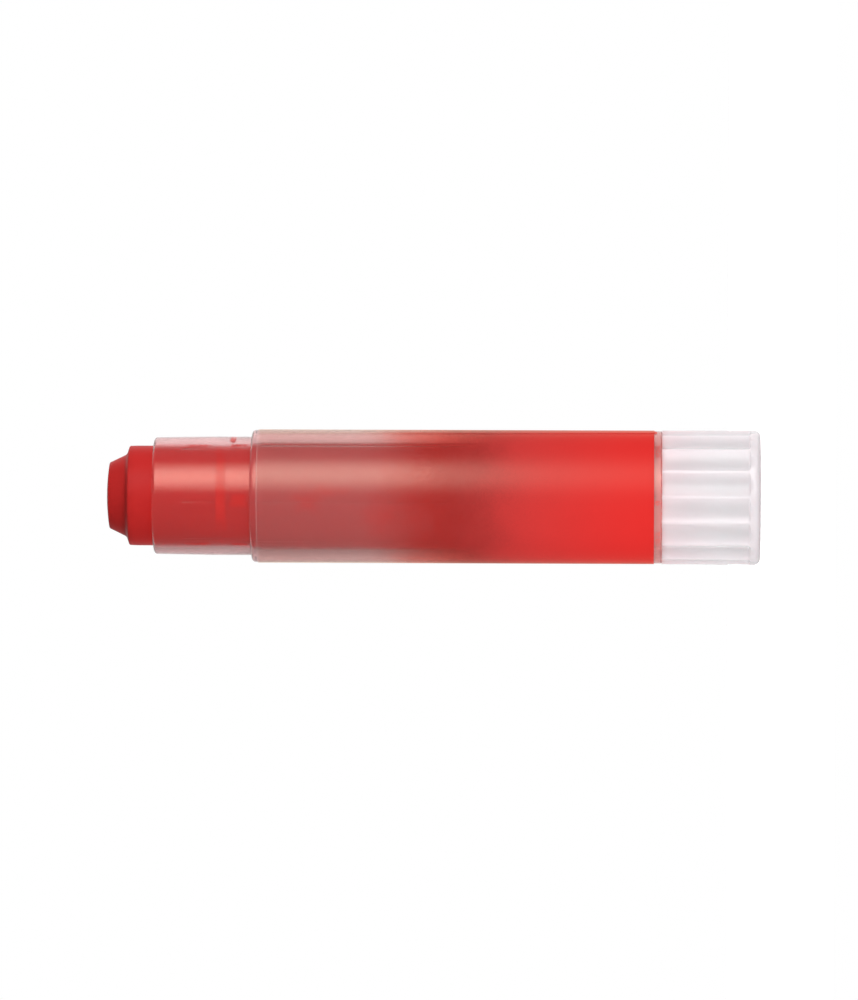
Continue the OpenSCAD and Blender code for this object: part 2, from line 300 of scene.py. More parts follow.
# under the glued film the wall has hardly any shine of its own
stuck = addNode(tree, "MapRange", {"interpolation_type": "SMOOTHSTEP",
                "From Min": look["gluedBand"][0] * mm, "From Max": look["gluedBand"][1] * mm},
                {"Value": parts.outputs["Z"]})
glued = addNode(tree, "Math", {"operation": "SUBTRACT"}, {0: stuck.outputs[0], 1: foot.outputs[0]})
shine = addNode(tree, "Mix", {"data_type": "RGBA", "A": linear(look["shine"]),
                "B": linear(look["gluedShine"])}, {"Factor": glued.outputs[0]})
plastic = addNode(tree, "BsdfPrincipled", {"IOR": 1.49},
                  {"Base Color": tint.outputs["Result"], "Transmission Weight": glassy.outputs[0],
                   "Specular Tint": shine.outputs["Result"], "Roughness": frosting.outputs[0],
                   "Normal": bump.outputs[0]})
# lamps and bounced light pass straight through the wall
clear = addNode(tree, "BsdfTransparent", {"Color": linear(look["lightThrough"])})
lampsPass = addNode(tree, "MixShader",
                    links={0: path.outputs["Is Shadow Ray"], 1: plastic.outputs[0], 2: clear.outputs[0]})
lightPasses = addNode(tree, "MixShader",
                      links={0: path.outputs["Is Diffuse Ray"], 1: lampsPass.outputs[0], 2: clear.outputs[0]})
addNode(tree, "OutputMaterial", links={"Surface": lightPasses.outputs[0]})

# Polyester label film, printed outside: clear at the neck end, then a see-through red ink that grows solid
ink = {
    # the see-through ink has its share by "most" and is full by "full"; the solid ink likewise
    "start": 49.0, "most": 35.5, "share": 0.87, "full": 24.0,
    "solidFrom": 47.0, "solidMost": 24.0, "solidShare": 0.88, "solidBy": 13.0,
    # the solid ink's two reds are painted shade and glow: darker over the pigment behind the film, brighter
    # towards the knob
    "shadedAt": 42.0, "bright": 10.0, "shadedRed": "#BE3B3A", "glowingRed": "#DF2A28",
    "bare": "#F8F6F5", "sheerRed": "#F89B8C", "bareHaze": "#F0DAD6", "redHaze": "#DA5A56",
    "haze": 0.045, "cutEndGlint": 0.16, "margin": (60.03, 60.1),  # the cut end is painted hazier, a painted highlight where it catches the light
    "cloud": 6.0, "cloudDrift": 6.0, "speck": 0.4, "speckDrift": 5.0,
    "dot": 0.025, "dotSpread": 0.4,  # dots too fine to be seen, so that the solid ink thins out evenly
    "gloss": "#FFE8D2", "bareGloss": 0.05, "solidGloss": 0.024, "edgeGloss": 0.6, "edgePower": 5.0,
    "grain": 0.5, "roughness": (0.19, 0.29), "solidDull": 0.17, "grainStrength": 0.05, "grainDepth": 0.02,
}
filmFront, tree = newMaterial("printed polyester film")
place = addNode(tree, "TexCoord")
parts = addNode(tree, "SeparateXYZ", links={0: place.outputs["Object"]})
specks = addNode(tree, "TexNoise", {"Scale": 1 / (ink["speck"] * mm), "Detail": 2.0},
                 {"Vector": place.outputs["Object"]})
clouds = addNode(tree, "TexNoise", {"Scale": 1 / (ink["cloud"] * mm), "Detail": 3.0},
                 {"Vector": place.outputs["Object"]})
drift = addNode(tree, "Math", {"operation": "MULTIPLY_ADD", 1: ink["cloudDrift"] * mm,
                2: -ink["cloudDrift"] / 2 * mm}, {0: clouds.outputs["Fac"]})
spray = addNode(tree, "Math", {"operation": "MULTIPLY_ADD", 1: ink["speckDrift"] * mm,
                2: -ink["speckDrift"] / 2 * mm}, {0: specks.outputs["Fac"]})
edge = addNode(tree, "Math", {"operation": "ADD"}, {0: drift.outputs[0], 1: spray.outputs[0]})
height = addNode(tree, "Math", {"operation": "ADD"}, {0: parts.outputs["Z"], 1: edge.outputs[0]})
soft = addNode(tree, "Math", {"operation": "ADD"}, {0: parts.outputs["Z"], 1: drift.outputs[0]})
first = addNode(tree, "MapRange", {"interpolation_type": "SMOOTHSTEP", "From Min": ink["start"] * mm,
                "From Max": ink["most"] * mm, "To Max": ink["share"]}, {"Value": height.outputs[0]})
rest = addNode(tree, "MapRange", {"From Min": ink["most"] * mm, "From Max": ink["full"] * mm,
               "To Max": 1 - ink["share"]}, {"Value": height.outputs[0]})
cover = addNode(tree, "Math", {"operation": "ADD"}, {0: first.outputs[0], 1: rest.outputs[0]})
firm = addNode(tree, "MapRange", {"interpolation_type": "SMOOTHSTEP", "From Min": ink["solidFrom"] * mm,
               "From Max": ink["solidMost"] * mm, "To Max": ink["solidShare"]}, {"Value": soft.outputs[0]})
firmer = addNode(tree, "MapRange", {"From Min": ink["solidMost"] * mm, "From Max": ink["solidBy"] * mm,
                 "To Max": 1 - ink["solidShare"]}, {"Value": parts.outputs["Z"]})
solid = addNode(tree, "Math", {"operation": "ADD"}, {0: firm.outputs[0], 1: firmer.outputs[0]})
# painted shade and glow: the solid ink goes from its darker red over the pigment to its brighter red towards
# the knob
glowTowardKnob = addNode(tree, "MapRange", {"interpolation_type": "SMOOTHSTEP", "From Min": ink["shadedAt"] * mm,
                  "From Max": ink["bright"] * mm}, {"Value": parts.outputs["Z"]})
# see-through ink and a little haze
stain = addNode(tree, "Mix", {"data_type": "RGBA", "A": linear(ink["bare"]), "B": linear(ink["sheerRed"])},
                {"Factor": cover.outputs[0]})
sheer = addNode(tree, "BsdfTransparent", links={"Color": stain.outputs["Result"]})
haze = addNode(tree, "Mix", {"data_type": "RGBA", "A": linear(ink["bareHaze"]),
               "B": linear(ink["redHaze"])}, {"Factor": cover.outputs[0]})
milk = addNode(tree, "BsdfDiffuse", links={"Color": haze.outputs["Result"]})
# painted highlight: the haze rises along the cut end
margin = addNode(tree, "MapRange", {"From Min": ink["margin"][0] * mm, "From Max": ink["margin"][1] * mm,
                 "To Min": ink["haze"], "To Max": ink["cutEndGlint"]}, {"Value": parts.outputs["Z"]})
hazy = addNode(tree, "MixShader", links={0: margin.outputs[0], 1: sheer.outputs[0], 2: milk.outputs[0]})
# solid ink, screened in by its dots; its red is painted darker where the pigment sits behind the film and
# brighter towards the knob, a painted glow of the white works showing through
tone = addNode(tree, "Mix", {"data_type": "RGBA", "A": linear(ink["shadedRed"]),
               "B": linear(ink["glowingRed"])}, {"Factor": glowTowardKnob.outputs[0]})
opaque = addNode(tree, "BsdfDiffuse", links={"Color": tone.outputs["Result"]})
dots = addNode(tree, "TexVoronoi", {"Scale": 1 / (ink["dot"] * mm)}, {"Vector": place.outputs["Object"]})
chance = addNode(tree, "SeparateColor", links={0: dots.outputs["Color"]})
weak = addNode(tree, "Math", {"operation": "MULTIPLY", 1: ink["dotSpread"]}, {0: chance.outputs[0]})
strong = addNode(tree, "Math", {"operation": "ADD", 1: 1 - ink["dotSpread"]}, {0: weak.outputs[0]})
screened = addNode(tree, "MapRange", links={"Value": solid.outputs[0], "From Min": weak.outputs[0],
                   "From Max": strong.outputs[0]})
inked = addNode(tree, "MixShader", links={0: screened.outputs[0], 1: hazy.outputs[0], 2: opaque.outputs[0]})
# glossy skin, duller over solid ink
facing = addNode(tree, "LayerWeight", {"Blend": 0.5})
steep = addNode(tree, "Math", {"operation": "POWER", 1: ink["edgePower"]}, {0: facing.outputs["Facing"]})
front = addNode(tree, "MapRange", {"To Min": ink["bareGloss"], "To Max": ink["solidGloss"]},
                {"Value": solid.outputs[0]})
mirror = addNode(tree, "MapRange", {"To Max": ink["edgeGloss"]},
                 {"Value": steep.outputs[0], "To Min": front.outputs[0]})
grain = addNode(tree, "TexNoise", {"Scale": 1 / (ink["grain"] * mm), "Detail": 3.0},
                {"Vector": place.outputs["Object"]})
sheen = addNode(tree, "MapRange", {"To Min": ink["roughness"][0], "To Max": ink["roughness"][1]},
                {"Value": grain.outputs["Fac"]})
ripple = addNode(tree, "Bump", {"Strength": ink["grainStrength"], "Distance": ink["grainDepth"] * mm},
                 {"Height": grain.outputs["Fac"]})
dull = addNode(tree, "Math", {"operation": "MULTIPLY_ADD", 1: ink["solidDull"]},
               {0: solid.outputs[0], 2: sheen.outputs[0]})
gloss = addNode(tree, "BsdfGlossy", {"Color": linear(ink["gloss"])},
                {"Roughness": dull.outputs[0], "Normal": ripple.outputs[0]})
film = addNode(tree, "MixShader", links={0: mirror.outputs[0], 1: inked.outputs[0], 2: gloss.outputs[0]})
addNode(tree, "OutputMaterial", links={"Surface": film.outputs[0]})

# the film's glued side and cut edges: clear, with no gloss of their own
filmBack, tree = newMaterial("glued side of the film")
openFilm = addNode(tree, "BsdfTransparent", {"Color": linear("#FFFBFA")})
addNode(tree, "OutputMaterial", links={"Surface": openFilm.outputs[0]})

# Natural polypropylene, moulded: milky, light soaks in a millimetre or two, satin skin, and a painted pink
# glow of red light towards the barrel
look = {
    "base": "#FFEAEF", "redGlowByBarrel": "#FFDBE0", "redGlowBand": (4.0, 12.0),
    "soak": 0.9, "soakColours": (1.0, 0.9, 0.9), "soakDepth": 2.6,
    "skin": 0.4, "roughness": (0.12, 0.18), "skinStrength": 0.05, "skinDepth": 0.02,
}
frostedPlastic, tree = newMaterial("natural polypropylene")
place = addNode(tree, "TexCoord")
parts = addNode(tree, "SeparateXYZ", links={0: place.outputs["Object"]})
# painted glow: the milky white turns pinker towards the barrel, standing in for red light from it
redGlow = addNode(tree, "MapRange", {"interpolation_type": "SMOOTHSTEP",
                "From Min": look["redGlowBand"][0] * mm, "From Max": look["redGlowBand"][1] * mm},
                {"Value": parts.outputs["Z"]})
milk = addNode(tree, "Mix", {"data_type": "RGBA", "A": linear(look["base"]), "B": linear(look["redGlowByBarrel"])},
               {"Factor": redGlow.outputs[0]})
skin = addNode(tree, "TexNoise", {"Scale": 1 / (look["skin"] * mm), "Detail": 3.0},
               {"Vector": place.outputs["Object"]})
satin = addNode(tree, "MapRange", {"To Min": look["roughness"][0], "To Max": look["roughness"][1]},
                {"Value": skin.outputs["Fac"]})
texture = addNode(tree, "Bump", {"Strength": look["skinStrength"], "Distance": look["skinDepth"] * mm},
                  {"Height": skin.outputs["Fac"]})
milky = addNode(tree, "BsdfPrincipled",
                {"IOR": 1.49, "Subsurface Weight": look["soak"], "Subsurface Radius": look["soakColours"],
                 "Subsurface Scale": look["soakDepth"] * mm},
                {"Base Color": milk.outputs["Result"], "Roughness": satin.outputs[0],
                 "Normal": texture.outputs[0]})
addNode(tree, "OutputMaterial", links={"Surface": milky.outputs[0]})

# White polypropylene, moulded: opaque satin white of the inner works
look = {"dim": "#ECE8E6", "bright": "#F5F1EF", "skin": 0.6, "roughness": (0.35, 0.5)}
whitePlastic, tree = newMaterial("white polypropylene")
place = addNode(tree, "TexCoord")
skin = addNode(tree, "TexNoise", {"Scale": 1 / (look["skin"] * mm), "Detail": 3.0},
               {"Vector": place.outputs["Object"]})
tone = addNode(tree, "Mix", {"data_type": "RGBA", "A": linear(look["dim"]), "B": linear(look["bright"])},
               {"Factor": skin.outputs["Fac"]})
satin = addNode(tree, "MapRange", {"To Min": look["roughness"][0], "To Max": look["roughness"][1]},
                {"Value": skin.outputs["Fac"]})
moulded = addNode(tree, "BsdfPrincipled", {"IOR": 1.49},
                  {"Base Color": tone.outputs["Result"], "Roughness": satin.outputs[0]})
addNode(tree, "OutputMaterial", links={"Surface": moulded.outputs[0]})

# Pigment bound in soft wax: dense red, matt with a greasy bloom, faint drag marks along it
look = {
    "dark": "#BA2726", "light": "#C42B29", "cloud": 1.8, "stretch": (1, 1, 0.35), "roughness": (0.36, 0.52),
    "grit": 0.25, "gritStrength": 0.15, "gritDepth": 0.03, "specular": 0.1,
}
waxPigment, tree = newMaterial("wax-bound red pigment")
place = addNode(tree, "TexCoord")
stretch = addNode(tree, "Mapping", {"Scale": look["stretch"]}, {"Vector": place.outputs["Object"]})
clouds = addNode(tree, "TexNoise", {"Scale": 1 / (look["cloud"] * mm), "Detail": 5.0, "Roughness": 0.6},
                 {"Vector": stretch.outputs[0]})
grit = addNode(tree, "TexNoise", {"Scale": 1 / (look["grit"] * mm), "Detail": 3.0},
               {"Vector": place.outputs["Object"]})
red = addNode(tree, "Mix", {"data_type": "RGBA", "A": linear(look["dark"]), "B": linear(look["light"])},
              {"Factor": clouds.outputs["Fac"]})
bloom = addNode(tree, "MapRange", {"To Min": look["roughness"][0], "To Max": look["roughness"][1]},
                {"Value": clouds.outputs["Fac"]})
dents = addNode(tree, "Bump", {"Strength": look["gritStrength"], "Distance": look["gritDepth"] * mm},
                {"Height": grit.outputs["Fac"]})
waxy = addNode(tree, "BsdfPrincipled", {"IOR": 1.45, "Specular IOR Level": look["specular"]},
               {"Base Color": red.outputs["Result"], "Roughness": bloom.outputs[0],
                "Normal": dents.outputs[0]})
addNode(tree, "OutputMaterial", links={"Surface": waxy.outputs[0]})

# Pigment wiped thinly down the bore: a dusty red veil, wet red where the mesh's "touch" value rises to 1
look = {"dark": "#C65B5D", "pale": "#D06567", "wet": "#D4302B", "cloud": 2.2, "thinnest": 0.8}
thinPigment, tree = newMaterial("thin film of pigment")
place = addNode(tree, "TexCoord")
touch = addNode(tree, "Attribute", {"attribute_name": "touch"})
clouds = addNode(tree, "TexNoise", {"Scale": 1 / (look["cloud"] * mm), "Detail": 3.0},
                 {"Vector": place.outputs["Object"]})
dusty = addNode(tree, "Mix", {"data_type": "RGBA", "A": linear(look["dark"]), "B": linear(look["pale"])},
                {"Factor": clouds.outputs["Fac"]})
wet = addNode(tree, "Mix", {"data_type": "RGBA", "B": linear(look["wet"])},
              {"Factor": touch.outputs["Fac"], "A": dusty.outputs["Result"]})
veil = addNode(tree, "MapRange", {"To Min": look["thinnest"]}, {"Value": touch.outputs["Fac"]})
gap = addNode(tree, "BsdfTransparent", {"Color": linear("#FFFFFF")})
wiped = addNode(tree, "BsdfDiffuse", links={"Color": wet.outputs["Result"]})
patchy = addNode(tree, "MixShader", links={0: veil.outputs[0], 1: gap.outputs[0], 2: wiped.outputs[0]})
addNode(tree, "OutputMaterial", links={"Surface": patchy.outputs[0]})

# Pigment smeared on plastic: wet red grains, fewer and fewer where the mesh's "touch" value falls to 0
look = {"wet": "#D0302C", "grain": 0.04}
smearedPigment, tree = newMaterial("smeared pigment")
path = addNode(tree, "LightPath")
place = addNode(tree, "TexCoord")
touch = addNode(tree, "Attribute", {"attribute_name": "touch"})
grains = addNode(tree, "TexVoronoi", {"Scale": 1 / (look["grain"] * mm)},
                 {"Vector": place.outputs["Object"]})
chance = addNode(tree, "SeparateColor", links={0: grains.outputs["Color"]})
stuck = addNode(tree, "Math", {"operation": "GREATER_THAN"},
                {0: touch.outputs["Fac"], 1: chance.outputs[0]})
gap = addNode(tree, "BsdfTransparent", {"Color": linear("#FFFFFF")})
wiped = addNode(tree, "BsdfDiffuse", {"Color": linear(look["wet"])})
smeared = addNode(tree, "MixShader", links={0: stuck.outputs[0], 1: gap.outputs[0], 2: wiped.outputs[0]})
# so thin that it throws no shadow
unshaded = addNode(tree, "MixShader",
                   links={0: path.outputs["Is Shadow Ray"], 1: smeared.outputs[0], 2: gap.outputs[0]})
addNode(tree, "OutputMaterial", links={"Surface": unshaded.outputs[0]})
print("materials ready")


# in the pieces below, lengths are in mm and turns in degrees

# the barrel is a clear tube with a narrower neck and a plain bore with fine mould lines
barrel = {
    "outside": 7.94, "bore": 6.38, "low": 11.85, "shoulder": 60.95, "boreTop": 59.66,
    "seat": 7.11, "seatTop": 65.70, "mouthOutside": 7.00, "mouth": 72.70,
    "neckBore": 6.10, "mouthBore": 6.18, "mouthStep": 69.20, "edge": 0.06,
    "boreTaper": 4.0, "snapLow": 15.47, "snapHigh": 16.73, "snapDepth": 0.25,
    "shoulderRound": 0.5, "mouthRound": 0.4, "steps": 160,
    # turn, lowest and highest point
    "lines": ((-31.5, 18.0, 69.0), (-142.0, 18.0, 69.0), (93.0, 18.0, 69.0), (-97.0, 50.4, 69.0)),
    "lineHalf": 0.6, "lineHigh": 0.05, "lineNear": 0.1,
    "loops": (12.2, 15.3, 16.9, 59.5, 60.3, 61.2, 65.5, 65.9, 69.0, 69.4, 72.15),
}
b = barrel
bm = lathe([
    (b["outside"] - b["edge"], b["low"]), (b["outside"], b["low"] + b["edge"]),
    (b["outside"], b["shoulder"]), (b["seat"], b["shoulder"]), (b["seat"], b["seatTop"]),
    (b["mouthOutside"], b["mouth"]), (b["mouthBore"], b["mouth"]),
    (b["mouthBore"], b["mouthStep"]), (b["neckBore"], b["seatTop"]),
    (b["neckBore"], b["boreTop"] + b["boreTaper"]), (b["bore"], b["boreTop"]),
    (b["bore"], b["snapHigh"]), (b["bore"] + b["snapDepth"], b["snapHigh"] - b["snapDepth"]),
    (b["bore"] + b["snapDepth"], b["snapLow"] + b["snapDepth"]), (b["bore"], b["snapLow"]),
    (b["bore"], b["low"] + b["edge"]), (b["bore"] + b["edge"], b["low"]),
], b["steps"])
roundRing(bm, b["outside"], b["shoulder"], b["shoulderRound"], segments=6)
roundRing(bm, b["seat"], b["shoulder"], b["edge"], segments=3)
roundRing(bm, b["mouthOutside"], b["mouth"], b["mouthRound"], segments=5)
roundRing(bm, b["mouthBore"], b["mouth"], b["edge"], segments=3)
for height in b["loops"]:  # extra loops keep the long walls' shading straight up to each round
    cutAcross(bm, height)

for turn, low, high in b["lines"]:  # fine raised mould lines along the bore
    for step in (-b["lineHalf"], 0, b["lineHalf"]):
        across = math.radians(turn + step)
        cutAcross(bm, 0, (-math.sin(across), math.cos(across), 0))
    for vert in bm.verts:
        r, around, z = polar(vert)
        if abs(around - turn) < b["lineNear"] and r < b["bore"] + slack and low < z < high:
            vert.co = onRing(r - b["lineHigh"], around, z)

tidyMesh(bm)
finishPiece(bm, "barrel_shell", "barrel", "barrel", [clearPlastic])


# the label film is wrapped once round the barrel, its slanted end lapped over its start
labelFilm = {
    "inside": 7.962, "thick": 0.045, "low": 12.72, "high": 60.19, "endLow": -18.0, "endHigh": -23.0,
    "lap": 1.5, "step": 0.047, "slip": 0.34, "around": 168, "along": 40,
    "stepEase": 8, "slantEase": 60, "slipEase": 12,  # turn over which each dies away
}
f = labelFilm


def outwards(face):
    return Vector((*face.calc_center_median().xy, 0)).normalized()


bm = bmesh.new()
bmesh.ops.create_grid(bm, x_segments=f["around"], y_segments=f["along"], size=0.5)
for vert in bm.verts:
    wrap = (vert.co.x + 0.5) * (360 + f["lap"])
    up = vert.co.y + 0.5
    onTop = 1 - smooth(f["lap"], f["lap"] + f["stepEase"], wrap)
    eased = smooth(0, f["slantEase"], wrap)
    slant = (f["endLow"] + (f["endHigh"] - f["endLow"]) * up) * (1 - eased) + f["endLow"] * eased
    slipped = f["slip"] * (1 - smooth(0, f["lap"] + f["slipEase"], wrap))
    vert.co = onRing(f["inside"] + f["step"] * onTop, slant + wrap,
                     f["low"] + (f["high"] - f["low"]) * up - slipped)
bmesh.ops.recalc_face_normals(bm, faces=bm.faces)
outer = [face for face in bm.faces if face.normal.dot(outwards(face)) > 0]
if len(outer) * 2 < len(bm.faces):
    bmesh.ops.reverse_faces(bm, faces=bm.faces)
bmesh.ops.solidify(bm, geom=bm.faces[:], thickness=-f["thick"] * mm)
bmesh.ops.recalc_face_normals(bm, faces=bm.faces)
for face in bm.faces:
    gluedSide = face.normal.dot(outwards(face)) < -0.5
    cutEdge = abs(face.normal.z) > 0.5
    face.material_index = 1 if gluedSide or cutEdge else 0
finishPiece(bm, "printed_film", "barrel", "label_film", [filmFront, filmBack])


# the twist knob is a fluted cup with a smooth collar, and a boss for the spindle inside
knob = {
    "base": 8.06, "rim": 8.01, "height": 11.78, "baseRound": 0.7, "roundSteps": 6, "edge": 0.05,
    "flutes": 16, "fluteDepth": 0.53, "fluteRound": 3.0, "runOut": 0.3, "collar": 1.2, "ridge": 0.045,
    "bore": 6.86, "mouthEdge": 0.12, "floor": 1.4, "floorRound": 0.3, "floorBend": 0.08,
    "boss": 3.35, "bossTop": 9.1, "socket": 2.26, "socketLow": 1.42,
    # height and radius of the moulding gate's dimple under the base
    "dimple": ((0.16, 0.8), (0.16, 1.05), (0.13, 1.15), (0.0, 1.2), (0.0, 1.4)),
    # turns from the middle of a flute, shares of the run-out, and heights that get vertices
    "columns": (0, 1.8, 3.6, 5.4, 7.2, 8.6, 9.4, 9.8, 10.1, 10.4, 10.7, 11.0, 11.25),
    "runOutRings": (0, 0.07, 0.2, 0.38, 0.6, 0.8, 1, 1.4), "wallRings": (4.0, 6.5, 9.0, 11.0),
}
k = knob


def fluted(turn, height, inset):
    rim = k["base"] + (k["rim"] - k["base"]) * smooth(0, k["height"], height) - inset
    rise = min(max(height - k["collar"], 0.0), k["runOut"])
    hollow = k["fluteRound"] - k["runOut"] + math.sqrt(k["runOut"] ** 2 - (k["runOut"] - rise) ** 2)
    centre = k["base"] - k["fluteDepth"] + k["fluteRound"] - inset
    sector = 360 / k["flutes"]
    away = math.radians((turn % sector) - sector / 2)
    reach = hollow ** 2 - (centre * math.sin(away)) ** 2
    if reach <= 0:
        return rim
    wall = centre * math.cos(away) - math.sqrt(reach)
    near = max(k["ridge"] - abs(rim - wall), 0) / k["ridge"]
    return min(rim, wall) - near ** 2 * k["ridge"] / 4  # the ridge beside each flute is softened


columns = [-c for c in reversed(k["columns"][1:])] + list(k["columns"][:-1])
turns = [(i + 0.5) * 360 / k["flutes"] + c for i in range(k["flutes"]) for c in columns]
# from the base over the rim to the socket: height, radius or a fluted ring's inset, and whether it is fluted
rings = [(z, r, False) for z, r in k["dimple"]] + [(0, k["base"] - k["baseRound"], False)]
for i in range(1, k["roundSteps"] + 1):
    bend = math.radians(90 / k["roundSteps"] * i)
    rings.append((k["baseRound"] * (1 - math.cos(bend)),
                  k["base"] - k["baseRound"] * (1 - math.sin(bend)), False))
rings += [(k["collar"] + k["runOut"] * t, 0, True) for t in k["runOutRings"]]
rings += [(z, 0, True) for z in (*k["wallRings"], k["height"] - k["edge"])]
rings += [(k["height"] - k["edge"] * 0.3, k["edge"] * 0.7, True), (k["height"], k["edge"], True)]
rings += [(z, r, False) for z, r in (
    (k["height"], k["bore"] + k["mouthEdge"]), (k["height"] - k["mouthEdge"], k["bore"]),
    (k["floor"] + k["floorRound"], k["bore"]), (k["floor"] + k["floorBend"], k["bore"] - k["floorBend"]),
    (k["floor"], k["bore"] - k["floorRound"]), (k["floor"], k["boss"]), (k["bossTop"], k["boss"]),
    (k["bossTop"], k["socket"]), (k["socketLow"], k["socket"]))]

bm = bmesh.new()
bmesh.ops.create_circle(bm, segments=len(turns), radius=1.0)
for vert, turn in zip(bm.verts, turns):
    vert.co = onRing(rings[0][1], turn, rings[0][0])
edges = firstEdges = bm.edges[:]
for z, size, cut in rings[1:]:
    ring, edges = growRing(bm, edges)
    for vert in ring:
        _, turn, _ = polar(vert)
        vert.co = onRing(fluted(turn, z, size) if cut else size, turn, z)
bmesh.ops.contextual_create(bm, geom=firstEdges)
bmesh.ops.contextual_create(bm, geom=edges)
tidyMesh(bm)
finishPiece(bm, "fluted_knob", "knob", "twist_knob", [frostedPlastic], sharpAngle=62)


# the pigment stick has a stepped cone at its tip, and is cast round the carrier cup at its foot
pigment = {
    "radius": 6.0, "foot": 25.6, "spigot": 5.38, "cupTop": 30.6, "ledge": 75.66, "rows": 45,
    "noseFoot": 4.96, "footHeight": 76.0, "noseEdge": 3.96, "noseFront": 78.06, "tip": 78.38,
    "noseFillet": 0.25, "ledgeRound": 0.14, "edgeRound": 0.09,
    "bossRoom": 3.32, "bossTop": 27.82, "bore": 2.5, "boreTop": 68.11, "steps": 144,
    "coneRings": (0.0, 0.25, 0.5, 0.75, 1.0), "domeRings": (0.85, 0.7, 0.5, 0.3, 0.12, 0.0),
    # wear, and where it begins
    "wobble": 0.02, "chips": 0.09, "chipReach": 0.3, "wornAbove": 31.6, "wornOutside": 3.0,
}
p = pigment
domeRise = p["tip"] - p["noseFront"]
domeRadius = (p["noseEdge"] ** 2 + domeRise ** 2) / (2 * domeRise)
dome = []
for share in p["domeRings"]:
    r = p["noseEdge"] * share
    dome.append((r, p["tip"] - domeRadius + math.sqrt(domeRadius ** 2 - r ** 2)))
rowHeight = (p["ledge"] - p["cupTop"]) / p["rows"]
side = [(p["radius"], p["cupTop"] + i * rowHeight) for i in range(p["rows"])] + [(p["radius"], p["ledge"])]
cone = [(p["noseFoot"] + (p["noseEdge"] - p["noseFoot"]) * t,
         p["footHeight"] + (p["noseFront"] - p["footHeight"]) * t) for t in p["coneRings"]]
inside = [(0, p["boreTop"]), (p["bore"], p["boreTop"]), (p["bore"], p["bossTop"]),
          (p["bossRoom"], p["bossTop"]), (p["bossRoom"], p["foot"]),
          (p["spigot"], p["foot"]), (p["spigot"], p["cupTop"])]
bm = lathe(inside + side + cone + dome, p["steps"])
roundRing(bm, p["noseFoot"], p["footHeight"], p["noseFillet"], segments=4)
roundRing(bm, p["radius"], p["ledge"], p["ledgeRound"], segments=3)
roundRing(bm, p["noseEdge"], p["noseFront"], p["edgeRound"], segments=3)
tidyMesh(bm)
for vert in bm.verts:  # hand-worn wax isn't perfectly true
    r, _, z = polar(vert)
    if z > p["wornAbove"] and r > p["wornOutside"] or z > p["ledge"]:
        spot = vert.co / mm
        push = noise.noise(spot * 0.6) * 0.6 + noise.noise(spot * 1.9) * 0.4  # broad dents and finer ones
        wear = p["wobble"] + p["chips"] * math.exp(-((z - p["ledge"]) / p["chipReach"]) ** 2)
        vert.co -= Vector((vert.co.x, vert.co.y, 0)).normalized() * wear * mm * (0.5 + 0.5 * push)
finishPiece(bm, "pigment_core", "carriage", "pigment_stick", [waxPigment], sharpAngle=40)


# pigment is left behind in smears on the plastic and as a veil down the bore; a thin red ring lies in the
# joint, and the thin smears at -26 and -150 are painted shade
residue = {
    # turn, height, half arc, half length, strength, layer; they keep clear of each other
    "smears": (
        (-82, 64.5, 5.7, 0.72, 0.9, 1), (95, 64.5, 5.2, 0.72, 0.9, 13), (-95, 62.35, 1.0, 1.2, 0.8, 3),
        # the thin smears at -26 and -150 are painted shade: red lines where the gap between bore and pigment
        # falls dark at its edges
        (-8, 63.2, 1.4, 0.4, 1.0, 4), (120, 62.4, 0.9, 1.0, 0.8, 8), (-26, 67.2, 0.3, 1.7, 0.5, 10),
        (-26, 62.35, 0.3, 1.2, 0.5, 12), (-150, 67.2, 0.3, 1.7, 0.5, 11), (-150, 62.35, 0.3, 1.2, 0.5, 7),
        # layer 0 is on the outside of the bare foot
        (-94.7, 12.32, 0.42, 0.42, 0.34, 0), (-46.5, 12.32, 1.4, 0.42, 0.3, 0),
        (-128.3, 12.32, 1.4, 0.42, 0.24, 0), (40, 12.32, 1.5, 0.42, 0.3, 0), (170, 12.32, 0.8, 0.42, 0.3, 0)),
    "sink": 0.03, "layer": 0.002, "outSide": 0.015, "thick": 0.06, "cells": 18,
    "wander": 0.25, "wanderScale": 2.1, "wanderShift": 5.3, "fadeArc": 0.5, "fadeLength": 0.55,
    "jointIn": 7.0, "jointOut": 7.9, "jointLow": 11.785, "jointHigh": 11.845,
    "jointTouch": 0.5, "jointSteps": 144,
    # turn, height, half arc, half length, strength of the places where the veil is wet
    "touches": ((-93, 54.0, 1.7, 2.0, 0.6), (-112, 45.6, 2.6, 2.2, 0.4), (-85, 51.6, 0.8, 2.9, 0.55),
                (150, 50.0, 1.5, 2.4, 0.6), (60, 55.0, 1.2, 1.8, 0.6)),
    "touchFade": (0.1, 1.2), "veilGap": 0.055, "veilThick": 0.035,
    "veilLow": 18.0, "veilHigh": 60.9, "veilRows": 120, "veilSteps": 160,
}
s = residue


def boreAt(height):
    narrowing = min(max((b["boreTop"] + b["boreTaper"] - height) / b["boreTaper"], 0.0), 1.0)
    flare = min(max((height - b["seatTop"]) / (b["mouthStep"] - b["seatTop"]), 0.0), 1.0)
    return b["neckBore"] + (b["bore"] - b["neckBore"]) * narrowing + (b["mouthBore"] - b["neckBore"]) * flare


